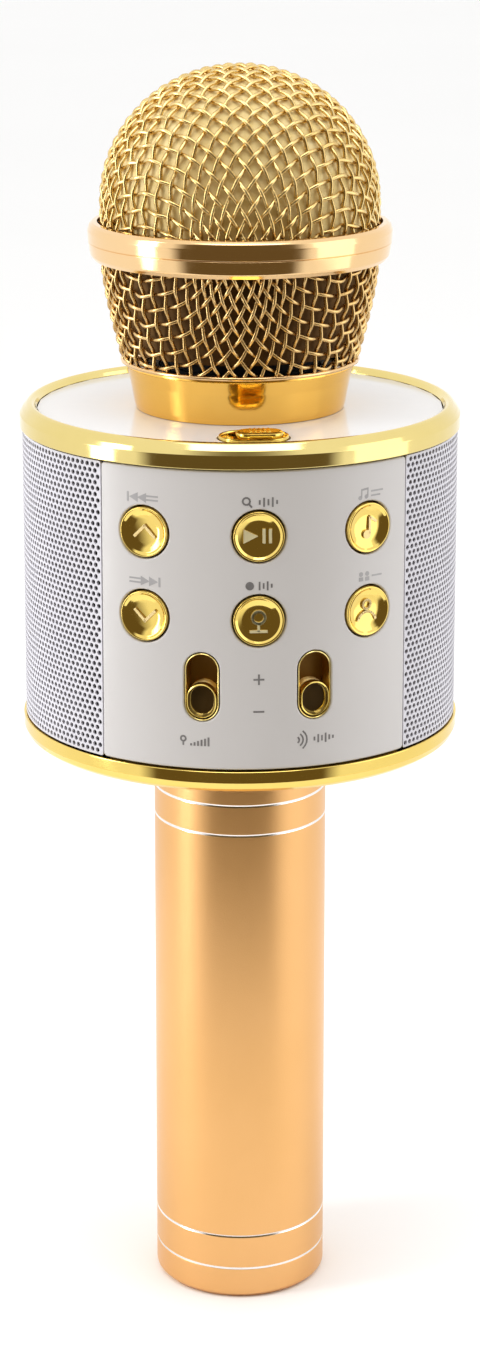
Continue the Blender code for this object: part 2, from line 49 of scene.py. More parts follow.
# ---- dimensions (mm), as in the part -------------------------------------------------------------
DRUM_R = 40
PANEL_WALL = 2
PANEL_BOTTOM, PANEL_TOP = 113, 166.4
SEAM_AZIMUTH, SEAM_HALF_ANGLE = 42.1, 0.22
GRILLE_R, GRILLE_WALL = 39.9, 0.4
CLOTH_R, CLOTH_WALL = 39.1, 0.3          # acoustic cloth behind the perforated sheets
PLATE_R, PLATE_TOP, PLATE_WALL = 37.17, 170, 1.6
BUTTON_COLUMN = 29.4
BUTTON_ROWS = (154.9, 139.9)
BUTTON_R, BUTTON_HOLE_R = 4.5, 4.8
SLIDER_AZIMUTH, SLOT_CENTRE = 14.3, 127.9
SLOT_WIDTH, SLOT_HEIGHT = 6.3, 12.5
LINING_WIDTH, LINING_HEIGHT = 6, 12.2    # gold lining in a slot
BAND_WIDTH, BAND_HEIGHT = 5.6, 17.4      # strip that moves with a knob and closes its slot from inside
PRINT_LEVELS = (-0.03, 0.03)             # print on the panels, from the panel's surface
SIGN_LEVELS = (-0.95, -0.36)             # raised signs in the buttons' dishes
PRINT_ROWS = (161, 146.2)
KNOB_WIDTH, KNOB_HEIGHT, KNOB_REST = 5.25, 6.2, 125.45
POWER_X, POWER_Y = 1, -29.2
PORTS_Z = 140
HANDLE_R = 16.1
GROOVES = (12.6, 92.3, 98)

DOME_R, DOME_RISE, DOME_CENTRE = 25.6, 25, 207.6
HEAD_JOIN = 200.4
BASKET_FOOT = 178.8
WIRE_R = 0.35
CRIMP = 0.335            # how far a wire swings to each side of the mesh's middle surface
MESH_DEPTH = 0.75        # middle surface of the mesh under its outermost point
DOME_PITCH, BASKET_PITCH = 2.9, 2.75
SHEAR_SHARE = 0.25       # how far the weave shears along its diagonals instead of closing up evenly
FOAM_WALL = 1.9
FOAM_DEPTH = 1.46        # outer face of the foam under the outermost point of the mesh

PERFORATION_PITCH, PERFORATION_R = 1.2, 0.44

ROUND_SIDES = 192
SMALL_SIDES = 64


# ---- meshes: every helper returns (points, faces) ------------------------------------------------
def rounded(corners, steps=5):
    """Closed outline through (x, y, fillet) corners, with each corner turned into an arc."""
    points = []
    for before, corner, after in zip(corners[-1:] + corners[:-1], corners, corners[1:] + corners[:1]):
        here, fillet = Vector(corner[:2]), corner[2]
        back, ahead = Vector(before[:2]) - here, Vector(after[:2]) - here
        half = back.angle(ahead) / 2
        if fillet == 0 or half > 1.56:
            points.append(tuple(here))
            continue
        reach = min(fillet / tan(half), 0.49 * back.length, 0.49 * ahead.length)
        centre = here + (back.normalized() + ahead.normalized()).normalized() * (reach / cos(half))
        first, last = back.normalized() * reach + here - centre, ahead.normalized() * reach + here - centre
        turn = atan2(first.x * last.y - first.y * last.x, first.dot(last))
        for step in range(steps + 1):
            a = turn * step / steps
            points.append((centre.x + first.x * cos(a) - first.y * sin(a),
                           centre.y + first.x * sin(a) + first.y * cos(a)))
    return points


def turned(outline, sides=ROUND_SIDES):
    """Solid of revolution about Z from (radius, height) points; a radius of 0 closes on the axis."""
    angles = np.arange(sides) * 2 * pi / sides
    points, rings = [], []
    for radius, height in outline:
        if radius < 1e-6:
            rings.append([len(points)])
            points.append((0, 0, height))
        else:
            rings.append(list(range(len(points), len(points) + sides)))
            points += list(zip(radius * np.cos(angles), radius * np.sin(angles), [height] * sides))
    pairs = list(zip(rings, rings[1:]))
    if len(rings[0]) > 1 or len(rings[-1]) > 1:
        pairs.append((rings[-1], rings[0]))
    faces = []
    for low, high in pairs:
        for k in range(sides):
            n = (k + 1) % sides
            corners = (low[k % len(low)], low[n % len(low)], high[n % len(high)], high[k % len(high)])
            unique = tuple(dict.fromkeys(corners))
            if len(unique) > 2:
                faces.append(unique)
    return np.array(points, float), faces


def rounded_box(width, height, radius, grow=0, steps=8, longest=1.5):
    """Outline of a rectangle with rounded corners, counter-clockwise; a full radius makes a circle or a slot.

    Outlines that differ only in grow have matching points.
    """
    points = []
    for quarter, (sx, sy) in enumerate(((1, 1), (-1, 1), (-1, -1), (1, -1))):
        for step in range(steps + 1):
            a = pi / 2 * (quarter + step / steps)
            corner = (sx * (width / 2 - radius), sy * (height / 2 - radius))
            points.append((corner, (cos(a), sin(a))))
    result = []
    for (corner, way), (corner_2, way_2) in zip(points, points[1:] + points[:1]):
        apart = dist(corner, corner_2)
        if apart < 1e-6 and dist(way, way_2) < 1e-6:
            continue
        pieces = max(1, ceil(apart / longest))
        for k in range(pieces):
            t = k / pieces
            result.append([corner[i] + (corner_2[i] - corner[i]) * t + way[i] * (radius + grow) for i in (0, 1)])
    return np.array(result)


def loops_joined(loops, closed):
    """Surface through loops of equal length; the ends are capped unless it closes on itself."""
    count = len(loops[0])
    points = np.concatenate([np.asarray(loop, float) for loop in loops])
    faces = []
    last = len(loops) if closed else len(loops) - 1
    for level in range(last):
        low, high = level * count, (level + 1) % len(loops) * count
        for k in range(count):
            n = (k + 1) % count
            faces.append((low + k, low + n, high + n, high + k))
    if not closed:
        faces.append(tuple(range(count))[::-1])
        faces.append(tuple(range((len(loops) - 1) * count, len(loops) * count)))
    return points, faces


def swept(profile, width, height, radius=None, closed=False, steps=8):
    """Profile of (grow, level) points carried round a rounded box in local X and Y, with levels on local Z."""
    radius = min(width, height) / 2 if radius is None else radius
    loops = []
    for grow, level in profile:
        outline = rounded_box(width, height, radius, grow, steps)
        loops.append(np.column_stack([outline, np.full(len(outline), level)]))
    return loops_joined(loops, closed)


def extruded(outline, low, high):
    outline = np.asarray(outline, float)
    return loops_joined([np.column_stack([outline, np.full(len(outline), z)]) for z in (low, high)], False)


def joined(shapes):
    points, faces, start = [], [], 0
    for shape_points, shape_faces in shapes:
        points.append(np.asarray(shape_points, float))
        faces += [tuple(v + start for v in face) for face in shape_faces]
        start += len(shape_points)
    return np.concatenate(points), faces


def moved(shape, matrix):
    m = np.array(matrix)
    return shape[0] @ m[:3, :3].T + m[:3, 3], shape[1]


def place(azimuth, radius=0, z=0):
    """Frame on the drum: local X is tangential, local Y is up and local Z points outwards."""
    a = radians(azimuth)
    return Matrix(((cos(a), 0, sin(a), radius * sin(a)),
                   (sin(a), 0, -cos(a), -radius * cos(a)),
                   (0, 1, 0, z), (0, 0, 0, 1)))


def around(points, azimuth, z, radius=DRUM_R):
    """Bend local points (tangential, up, outward from that radius) round the drum."""
    points = np.asarray(points, float)
    a = radians(azimuth) + points[:, 0] / radius
    r = radius + points[:, 2]
    return np.column_stack([r * np.sin(a), -r * np.cos(a), z + points[:, 1]])


def wrapped(shape, azimuth, z):
    return around(shape[0], azimuth, z), shape[1]


def add_object(name, data):
    made = bpy.data.objects.new(name, data)
    bpy.context.scene.collection.objects.link(made)
    return made


def store(name, shape, look, node=None, body="drum", sharp=35, weighted=True):
    """Make a piece from a shape in mm, in one of FINISHES, that rides on a body and stands for a CAD node."""
    points, faces, *corner_normals = shape
    triangles = [(f[0], f[k], f[k + 1]) for f in faces for k in range(1, len(f) - 1)]
    a, b, c = (points[[t[k] for t in triangles]] for k in range(3))
    if np.einsum("ij,ij->i", a, np.cross(b, c)).sum() < 0:
        faces = [f[::-1] for f in faces]
        if corner_normals:
            raise ValueError(name + " faces inwards")
    mesh = bpy.data.meshes.new(name)
    mesh.from_pydata((points * MM).tolist(), [], faces)
    mesh.shade_smooth()
    if corner_normals:
        mesh.normals_split_custom_set(corner_normals[0])
    else:
        mesh.set_sharp_from_angle(angle=radians(sharp))
    mesh.materials.append(FINISHES[look])
    piece = add_object(name, mesh)
    if weighted and not corner_normals:
        piece.modifiers.new("weighted_normals", "WEIGHTED_NORMAL").keep_sharp = True
    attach(piece, body)
    if node:
        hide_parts(node)
    return piece


# ---- plates with cut-outs ------------------------------------------------------------------------
def box_distance(points, box):
    """Signed distance from 2-D points to a rounded box given as (x, y, width, height, radius)."""
    x, y, width, height, radius = box
    q = np.abs(points - (x, y)) - (width / 2 - radius, height / 2 - radius)
    return np.hypot(*np.maximum(q, 0).T) + np.minimum(q.max(1), 0) - radius


def triangulated(points, edges, keep):
    """Delaunay triangles over 2-D points that hold the edges, where keep(centroids) is true."""
    out, _, faces, origin, _, _ = delaunay_2d_cdt([Vector(p) for p in points], edges, [], 0, 1e-5)
    back = [o[0] for o in origin]
    faces = np.array([[back[v] for v in f] for f in faces])
    faces = faces[keep(points[faces].mean(1))]
    a, b, c = (points[faces[:, k]] for k in range(3))
    turn = (b - a)[:, 0] * (c - a)[:, 1] - (b - a)[:, 1] * (c - a)[:, 0]
    faces[turn < 0] = faces[turn < 0][:, ::-1]
    return [tuple(int(v) for v in f) for f in faces]


def plate(outer, holes, wall, fillet, spacing, to_space):
    """Plate with rounded edges. outer and holes are rounded boxes in the plate's own 2-D frame.

    to_space(points, depth) gives places and outward normals for 2-D points that far under the outward face.
    Returns a shape that also has corner normals.
    """
    steps = 4
    boxes = [outer] + list(holes)
    signs = [-1] + [1] * len(holes)

    def outline(box, grow):
        return rounded_box(*box[2:], grow, longest=spacing[0]) + np.array(box[:2])

    loops = [outline(box, sign * fillet) for box, sign in zip(boxes, signs)]
    ways = []
    for box, sign in zip(boxes, signs):
        way = outline(box, 1) - outline(box, 0)
        ways.append(-sign * way / np.linalg.norm(way, axis=1)[:, None])
    low, high = loops[0].min(0), loops[0].max(0)
    counts = np.ceil((high - low) / spacing).astype(int)
    grid = np.stack(np.meshgrid(*(np.linspace(low[i], high[i], counts[i] + 1) for i in (0, 1))), -1).reshape(-1, 2)
    margin = 0.45 * min(spacing)
    clear = box_distance(grid, outer) < -fillet - margin
    for hole in holes:
        clear &= box_distance(grid, hole) > fillet + margin
    flat = np.concatenate(loops + [grid[clear]])
    edges, starts, start = [], [], 0
    for loop in loops:
        starts.append(start)
        edges += [(start + k, start + (k + 1) % len(loop)) for k in range(len(loop))]
        start += len(loop)

    def keep(middles):
        good = box_distance(middles, outer) < -fillet + 1e-4
        for hole in holes:
            good &= box_distance(middles, hole) > fillet - 1e-4
        return good

    triangles = triangulated(flat, edges, keep)
    points, normals, faces, corners = [], [], [], []

    def add(two_d, depth, way, lean):
        """Append vertices whose normals lean from outwards (0) to along the plate (1)."""
        first = len(points)
        place_at, out = to_space(two_d, depth)
        along, _ = to_space(two_d + 0.01 * way, depth)
        along = along - place_at
        length = np.linalg.norm(along, axis=1)[:, None]
        along = np.divide(along, length, out=np.zeros_like(along), where=length > 1e-9)
        a = lean * pi / 2
        points.extend(place_at)
        normals.extend(out * cos(a) + along * sin(a))
        return first

    none = np.zeros_like(flat)
    top = add(flat, 0, none, 0)
    for t in triangles:
        faces.append(tuple(top + v for v in t))
        corners += [normals[top + v] for v in t]
    under = add(flat, wall, none, 0)
    for t in triangles:
        faces.append(tuple(under + v for v in t[::-1]))
        corners += [-normals[under + v] for v in t[::-1]]
    for box, sign, way, first, loop in zip(boxes, signs, ways, starts, loops):
        count = len(loop)
        rows = [(top + first, 0)]
        for step in range(1, steps + 1):
            a = pi / 2 * step / steps
            depth = fillet * (1 - cos(a))
            rows.append((add(outline(box, sign * fillet * (1 - sin(a))), depth, way, step / steps), step / steps))
        rows.append((add(outline(box, 0), wall - fillet, way, 1), 1))
        rows.append((under + first, 1))
        for (upper, _), (lower, _) in zip(rows, rows[1:]):
            for k in range(count):
                n = (k + 1) % count
                face = (upper + k, lower + k, lower + n, upper + n)
                face = face if sign < 0 else face[::-1]
                faces.append(face)
                for v in face:
                    on_back = v >= under and v < under + len(flat)
                    corners.append(normals[rows[-2][0] + (v - under - first)] if on_back else normals[v])
    return np.array(points), faces, [tuple(c) for c in corners]


def on_drum(centre_azimuth, radius=DRUM_R):
    """to_space for a plate bent round the drum; its 2-D frame is (arc length, height)."""
    def to_space(flat, depth):
        a = radians(centre_azimuth) + flat[:, 0] / radius
        out = np.column_stack([np.sin(a), -np.cos(a), np.zeros(len(a))])
        return out * (radius - depth) + np.column_stack([0 * a, 0 * a, flat[:, 1]]), out
    return to_space


def level(z):
    """to_space for a flat horizontal plate that faces up."""
    def to_space(flat, depth):
        return (np.column_stack([flat, np.full(len(flat), z - depth)]), np.tile((0, 0, 1), (len(flat), 1)))
    return to_space


def perforated(centre_azimuth, half_angle):
    """Curved sheet with a hexagonal field of round holes."""
    half_width = GRILLE_R * radians(half_angle)
    low, high = PANEL_BOTTOM, PANEL_TOP
    border = 0.06
    columns = int((2 * half_width - 2 * border) / PERFORATION_PITCH - 0.5)
    pitch = (2 * half_width - 2 * border) / (columns + 0.5)
    rows = round((high - low - 2 * border) / (pitch * sqrt(3) / 2) - 1 / 3)
    row_step = (high - low - 2 * border) / (rows + 1 / 3)
    corner_r = row_step / 1.5
    first_z = (low + high - (rows - 1) * row_step) / 2
    first_x = -((columns - 1) * pitch + pitch / 2) / 2
    points, faces, index, edge_uses = [], [], {}, {}

    def vertex(x, z):
        key = (round(x * 500), round(z * 500))
        if key not in index:
            index[key] = len(points)
            points.append((x, z))
        return index[key]

    corners = ((1, 0.5), (0, 1), (-1, 0.5), (-1, -0.5), (0, -1), (1, -0.5))
    hexagon = [(pitch / 2 * x, corner_r * z) for x, z in corners]
    hole_ways = [(cos(radians(30 * k)), sin(radians(30 * k))) for k in range(12)]
    cells, rims = [], []
    for row in range(rows):
        for column in range(columns):
            x = first_x + column * pitch + (pitch / 2 if row % 2 else 0)
            z = first_z + row * row_step
            cells.append((x, z))
            corners = [vertex(x + dx, z + dz) for dx, dz in hexagon]
            hole = list(range(len(points), len(points) + 12))
            points += [(x + PERFORATION_R * c, z + PERFORATION_R * s) for c, s in hole_ways]
            rims.append(hole)
            for k in range(6):
                corner, following = corners[k], corners[(k + 1) % 6]
                a, b, c = hole[2 * k], hole[2 * k + 1], hole[(2 * k + 2) % 12]
                faces += [(corner, b, a), (corner, c, b), (corner, following, c)]
                edge = tuple(sorted((corner, following)))
                edge_uses[edge] = edge_uses.get(edge, 0) + 1
    patch_edges = [edge for edge, uses in edge_uses.items() if uses == 1]
    outline = rounded_box(2 * half_width, high - low, 0.3, longest=0.9, steps=3) + np.array((0, (low + high) / 2))
    patch = sorted({v for edge in patch_edges for v in edge})
    local = {v: k for k, v in enumerate(patch)}
    flat = np.array([points[v] for v in patch] + outline.tolist())
    count = len(outline)
    edges = [(local[a], local[b]) for a, b in patch_edges]
    edges += [(len(patch) + k, len(patch) + (k + 1) % count) for k in range(count)]
    centres = np.array(cells)

    def keep(middles):
        outside = []
        for middle in middles:
            across, along = np.abs(centres - middle).T
            outside.append(not np.any((across < pitch / 2 + 1e-3) &
                                      (along < corner_r * (1 - across / pitch) + 1e-3)))
        return np.array(outside)

    border_faces = triangulated(flat, edges, keep)
    outline_start = len(points)
    points += outline.tolist()
    names = patch + list(range(outline_start, outline_start + count))
    faces += [tuple(names[v] for v in face) for face in border_faces]
    front = np.column_stack([np.array(points)[:, 0], np.array(points)[:, 1], np.zeros(len(points))])
    back = front - (0, 0, GRILLE_WALL)
    total = len(points)
    everything = faces + [tuple(v + total for v in face[::-1]) for face in faces]
    loops = rims + [list(range(outline_start, outline_start + count))[::-1]]
    for loop in loops:
        for k in range(len(loop)):
            a, b = loop[k], loop[(k + 1) % len(loop)]
            everything.append((a, b, b + total, a + total))
    return around(np.concatenate([front, back]), centre_azimuth, 0, GRILLE_R), everything


# ---- woven wire ----------------------------------------------------------------------------------
def basket_radius(z):
    """Outer radius of the lower mesh cup."""
    height = np.clip((np.asarray(z, float) - BASKET_FOOT) / (HEAD_JOIN - BASKET_FOOT), 0, 1)
    return 21.8 + 3.8 * np.sin(height * pi / 2) ** 1.05


def dome_profile(depth):
    """(radius, z) points from the crown down to the join, that far under the outermost surface."""
    a = np.linspace(pi / 2, 0, 60)
    points = [((DOME_R - depth) * cos(t), DOME_CENTRE + (DOME_RISE - depth) * sin(t)) for t in a]
    points[0] = (0, points[0][1])
    points += [(DOME_R - depth, z) for z in np.linspace(DOME_CENTRE, HEAD_JOIN - 16, 20)[1:]]
    return np.array(points)


def basket_profile(depth):
    """(radius, z) points from the bottom of the bowl that the cup was drawn as, and up its wall."""
    foot, bowl = float(basket_radius(BASKET_FOOT)) - depth, 8
    points = [(foot * cos(t), BASKET_FOOT + bowl * sin(t)) for t in np.linspace(-pi / 2, 0, 40)]
    points[0] = (0, points[0][1])
    points += [(float(basket_radius(z)) - depth, z) for z in np.linspace(BASKET_FOOT, HEAD_JOIN + 16, 70)[1:]]
    return np.array(points)


def draped_net(profile, pitch, reach):
    """Square net laid over a surface of revolution so that each side of each mesh keeps its length.

    Returns {(i, j): (distance from the middle along the profile, azimuth)} for one quarter.
    """
    lengths = np.concatenate([[0], np.cumsum(np.hypot(*np.diff(profile, axis=0).T))])

    def spot(s, a):
        r = np.interp(s, lengths, profile[:, 0])
        return np.array((r * cos(a), r * sin(a), np.interp(s, lengths, profile[:, 1])))

    nodes = {(0, 0): (0, 0)}
    size = int(reach / pitch) + 2
    for k in range(1, size):
        nodes[(k, 0)] = (k * pitch, 0)
        nodes[(0, k)] = (k * pitch, pi / 2)
    for total in range(2, 2 * size):
        for i in range(max(1, total - size + 1), min(total, size)):
            j = total - i
            if (i - 1, j) not in nodes or (i, j - 1) not in nodes or j < 1:
                continue
            a, b, d = nodes[(i - 1, j)], nodes[(i, j - 1)], nodes[(i - 1, j - 1)]
            place_a, place_b = spot(*a), spot(*b)
            if i == j == 1:
                guess = np.array((pitch * sqrt(2), pi / 4))
            else:
                ahead = place_a + place_b - spot(*d)
                guess = np.array((a[0] + b[0] - d[0], atan2(ahead[1], ahead[0])))
            lowest = max(a[0], b[0]) + 0.2 * pitch
            for _ in range(25):
                here = spot(*guess)
                miss = np.array((np.linalg.norm(here - place_a), np.linalg.norm(here - place_b))) - pitch
                if np.abs(miss).max() < 1e-5:
                    break
                step = np.array((1e-3, 1e-4))
                moves = np.array([spot(guess[0] + step[0], guess[1]), spot(guess[0], guess[1] + step[1])])
                slopes = np.array([[np.linalg.norm(m - p) for m in moves] for p in (place_a, place_b)])
                slopes = (slopes - (miss + pitch)[:, None]) / step
                change = np.linalg.lstsq(slopes, miss, rcond=0.05)[0]
                guess = guess - np.clip(change, (-pitch / 2, -0.06), (pitch / 2, 0.06))
                guess[0] = max(guess[0], lowest)
            if guess[0] < reach + pitch:
                nodes[(i, j)] = tuple(guess)
    for (i, j), (s, a) in nodes.items():
        if i and j:
            even_s, even_a = hypot(i, j) * pitch, atan2(j, i)
            share = SHEAR_SHARE + (1 - SHEAR_SHARE) * cos(2 * even_a) ** 2
            nodes[(i, j)] = (even_s + (s - even_s) * share, even_a + (a - even_a) * share)
    return nodes, lengths


def woven(profile, pitch, turn, z_low, z_high, steps=5, sides=8):
    """Woven wires over a surface of revolution, clipped between two heights. turn is the azimuth of a diagonal."""
    quarter, lengths = draped_net(profile, pitch, np.hypot(*np.diff(profile, axis=0).T).sum())
    size = max(i for i, _ in quarter)
    slope = np.gradient(profile, axis=0)
    slope /= np.linalg.norm(slope, axis=1)[:, None]
    outward = np.column_stack([slope[:, 1], -slope[:, 0]])
    if profile[-1, 1] < profile[0, 1]:
        outward = -outward
    turn_angle = radians(turn) - pi / 2 - pi / 4
    wires = []
    for family in (0, 1):
        for i in range(-size, size + 1):
            line = []
            for j in range(-size, size + 1):
                key = (abs(i), abs(j)) if family == 0 else (abs(j), abs(i))
                if key not in quarter:
                    continue
                s, a = quarter[key]
                x_sign, y_sign = (i, j) if family == 0 else (j, i)
                x, y = cos(a) * (1 if x_sign >= 0 else -1), sin(a) * (1 if y_sign >= 0 else -1)
                around_z = atan2(y, x) + turn_angle
                r, z = np.interp(s, lengths, profile[:, 0]), np.interp(s, lengths, profile[:, 1])
                n_r, n_z = np.interp(s, lengths, outward[:, 0]), np.interp(s, lengths, outward[:, 1])
                line.append((j, (r * cos(around_z), r * sin(around_z), z),
                             (n_r * cos(around_z), n_r * sin(around_z), n_z)))
            runs = [[]]
            for item in line:
                if runs[-1] and item[0] != runs[-1][-1][0] + 1:
                    runs.append([])
                runs[-1].append(item)
            wires += [(family, i, run) for run in runs if len(run) > 2]
    shapes = []
    for family, i, run in wires:
        knots = np.array([item[1] for item in run])
        ways = np.array([item[2] for item in run])
        numbers = np.array([item[0] for item in run])
        t = np.linspace(0, len(run) - 1, (len(run) - 1) * steps + 1)
        k = np.minimum(t.astype(int), len(run) - 2)
        f = (t - k)[:, None]
        p0, p1 = knots[np.maximum(k - 1, 0)], knots[k]
        p2, p3 = knots[k + 1], knots[np.minimum(k + 2, len(run) - 1)]
        path = 0.5 * (2 * p1 + (p2 - p0) * f + (2 * p0 - 5 * p1 + 4 * p2 - p3) * f ** 2
                      + (3 * p1 - p0 - 3 * p2 + p3) * f ** 3)
        up = ways[k] * (1 - f) + ways[k + 1] * f
        up /= np.linalg.norm(up, axis=1)[:, None]
        over = 1 if (family + i) % 2 == 0 else -1
        swing = over * np.cos(pi * (t + numbers[0]))
        path = path + up * (CRIMP * swing)[:, None]
        inside = (path[:, 2] >= z_low) & (path[:, 2] <= z_high)
        cuts = np.flatnonzero(np.diff(np.concatenate([[0], inside.astype(int), [0]])))
        for start, end in zip(cuts[::2], cuts[1::2]):
            if end - start < 3:
                continue
            part, part_up = path[start:end], up[start:end]
            along = np.gradient(part, axis=0)
            along /= np.linalg.norm(along, axis=1)[:, None]
            side = np.cross(along, part_up)
            side /= np.linalg.norm(side, axis=1)[:, None]
            top = np.cross(side, along)
            angles = np.arange(sides) * 2 * pi / sides
            rings = (part[:, None, :] + WIRE_R * (np.cos(angles)[None, :, None] * side[:, None, :]
                                                  + np.sin(angles)[None, :, None] * top[:, None, :]))
            shapes.append(loops_joined(list(rings), False))
    return joined(shapes)


# ---- finishes ------------------------------------------------------------------------------------
BUMP_HEIGHT = 0.0001      # metres


def feed(tree, node, **inputs):
    """Give a node's inputs values, or the sockets that feed them; _ in a name stands for a space."""
    for name, value in inputs.items():
        socket = node.inputs[name.replace("_", " ")]
        if isinstance(value, bpy.types.NodeSocket):
            tree.links.new(value, socket)
        else:
            socket.default_value = value


def add_node(tree, kind, **inputs):
    node = tree.nodes.new("ShaderNode" + kind)
    feed(tree, node, **inputs)
    return node


def ramp(tree, source, low, high, start=0.3, end=0.7):
    """Map a 0-1 value to a colour or number between two ends."""
    node = add_node(tree, "ValToRGB", Fac=source)
    for element, position, value in zip(node.color_ramp.elements, (start, end), (low, high)):
        element.position = position
        element.color = (*value, 1) if isinstance(value, tuple) else (value, value, value, 1)
    return node.outputs["Color"]


def mapped(tree, **mapping):
    """Places in the part's own frame, scaled or turned."""
    places = add_node(tree, "TexCoord").outputs["Object"]
    return add_node(tree, "Mapping", Vector=places, **mapping).outputs["Vector"]


def noise(tree, scale, detail=3, stretch=(1, 1, 1)):
    """Noise in the part's own frame, with features per metre given by scale."""
    places = mapped(tree, Scale=stretch)
    return add_node(tree, "TexNoise", Vector=places, Scale=scale, Detail=detail, Roughness=0.5).outputs["Fac"]


def finish(name, dark, light, rough, metallic=0, grain=900, patches=60, bump=0.1, stretch=(1, 1, 1), **sockets):
    """Material whose colour drifts between two shades and whose roughness and surface follow finer noise."""
    result = bpy.data.materials.new(name)
    result.use_nodes = True
    tree = result.node_tree
    shader = tree.nodes["Principled BSDF"]
    fine = noise(tree, grain, 3, stretch)
    feed(tree, shader, Metallic=metallic, Base_Color=ramp(tree, noise(tree, patches, 4), dark, light),
         Roughness=ramp(tree, fine, *rough), **sockets)
    if bump:
        relief = add_node(tree, "Bump", Strength=bump, Distance=BUMP_HEIGHT, Height=fine)
        feed(tree, shader, Normal=relief.outputs["Normal"])
    return result


# name of the material, dark shade, light shade, roughness range, metallic, grain and patches per metre, bump,
# and where it applies the grain's stretch and further sockets
LOOKS = {
    "mesh_gold": ("wire_gold", (0.68, 0.48, 0.18), (0.80, 0.61, 0.28), (0.20, 0.32), 1, 2500, 90, 0.08),
    # painted shade: a darker copy of the wire gold for the lower cup's wires
    "shaded_cup_gold": ("wire_gold_painted_shade", (0.62, 0.40, 0.15), (0.76, 0.53, 0.24), (0.20, 0.32), 1, 2500, 90, 0.08),
    "ring_gold": ("polished_rose_gold", (0.80, 0.53, 0.25), (0.86, 0.59, 0.31), (0.09, 0.15), 1, 400, 40, 0.02),
    "collar_gold": ("satin_orange_gold", (0.95, 0.55, 0.11), (0.99, 0.60, 0.14), (0.10, 0.16), 1, 700, 50,
                    0.03, (1, 1, 6)),
    "plated_gold": ("plated_yellow_gold", (0.78, 0.56, 0.13), (0.86, 0.64, 0.18), (0.06, 0.12), 1, 300, 50,
                    0.02),
    # partly painted highlight: a paler, creamier copy of the plated gold, so the rims' reflections of the lamps come
    # out cream
    "rim_gold_painted_highlight": ("plated_rim_gold_painted_highlight", (0.72, 0.57, 0.205), (0.80, 0.65, 0.26), (0.06, 0.12), 1, 300, 50, 0.02),
    # painted highlight: a paler, brighter copy of the satin gold for the middle column's signs
    "lit_sign_gold": ("sign_gold_painted_highlight", (1, 0.87, 0.50), (1, 0.92, 0.60), (0.36, 0.46), 0.45, 1800, 90, 0.05),
    "satin_gold": ("satin_yellow_gold", (0.84, 0.66, 0.30), (0.92, 0.74, 0.38), (0.46, 0.56), 1, 1800, 90,
                   0.05),
    # painted shade: a darker copy of the plated gold for the linings inside the slots
    "bore_gold_painted_shade": ("plated_bore_painted_shade", (0.62, 0.38, 0.07), (0.72, 0.46, 0.10), (0.30, 0.40), 1, 900, 90, 0.05),
    "band": ("brown_band", (0.20, 0.105, 0.022), (0.28, 0.15, 0.035), (0.30, 0.40), 0.8, 900, 90, 0.05),
    "cloth": ("speaker_cloth", (0.016, 0.016, 0.018), (0.030, 0.030, 0.034), (0.80, 0.95), 0, 3500, 200, 0.6),
    "dish": ("dark_dish", (0.050, 0.028, 0.008), (0.075, 0.042, 0.012), (0.16, 0.24), 0.4, 900, 200, 0.03),
    "handle_gold": ("blasted_gold", (0.77, 0.43, 0.165), (0.81, 0.46, 0.19), (0.28, 0.36), 1, 5000, 30, 0.25),
    "silver": ("diamond_cut_silver", (0.80, 0.78, 0.76), (0.90, 0.89, 0.87), (0.10, 0.20), 1, 1500, 80, 0.05,
               (1, 1, 12)),
    "white_deck": ("white_deck_plastic", (0.675, 0.67, 0.675), (0.70, 0.695, 0.70), (0.10, 0.16), 0, 250, 25,
                   0.03),
    "white_satin": ("white_panel_plastic", (0.675, 0.655, 0.650), (0.705, 0.685, 0.68), (0.20, 0.26), 0, 250,
                    25, 0.03),
    "white_metal": ("painted_steel", (0.68, 0.67, 0.73), (0.74, 0.73, 0.79), (0.34, 0.46), 0, 1800, 70, 0.15),
    "ink": ("grey_print", (0.16, 0.15, 0.15), (0.24, 0.23, 0.23), (0.40, 0.55), 0, 2500, 300, 0.05),
    "pale_ink": ("pale_print", (0.38, 0.37, 0.38), (0.46, 0.45, 0.46), (0.40, 0.55), 0, 2500, 300, 0.05),
    "foam": ("gold_foam", (0.86, 0.67, 0.27), (0.95, 0.79, 0.42), (0.85, 0.95), 0, 1400, 500, 0.8),
    # painted shade: dark brown sheet inside the lower cup, standing for the shaded inside of the head
    "painted_shade_sheet": ("basket_interior_painted_shade", (0.11, 0.052, 0.010), (0.19, 0.095, 0.020), (0.85, 0.95), 0, 1400, 500, 0.8),
    "rubber": ("black_rubber", (0.018, 0.018, 0.019), (0.035, 0.035, 0.036), (0.65, 0.85), 0, 1500, 90, 0.4),
    "black_plastic": ("black_moulding", (0.020, 0.020, 0.022), (0.034, 0.034, 0.037), (0.38, 0.55), 0, 1600,
                      60, 0.3),
    "steel": ("turned_steel", (0.46, 0.46, 0.47), (0.60, 0.60, 0.61), (0.22, 0.38), 1, 1200, 80, 0.1, (1,
              1, 8)),
    "magnet": ("ferrite", (0.05, 0.05, 0.055), (0.10, 0.10, 0.11), (0.50, 0.65), 0, 1800, 200, 0.4),
    "paper_cone": ("paper_cone", (0.022, 0.022, 0.022), (0.05, 0.048, 0.045), (0.80, 0.95), 0, 1500, 300, 0.7),
    "cell_wrap": ("cell_sleeve", (0.06, 0.28, 0.16), (0.10, 0.36, 0.22), (0.22, 0.36), 0, 500, 60, 0.05),
}
FINISHES = {key: finish(*row) for key, row in LOOKS.items()}
FINISHES["white_satin"].node_tree.nodes["Principled BSDF"].inputs["Specular IOR Level"].default_value = 0.25


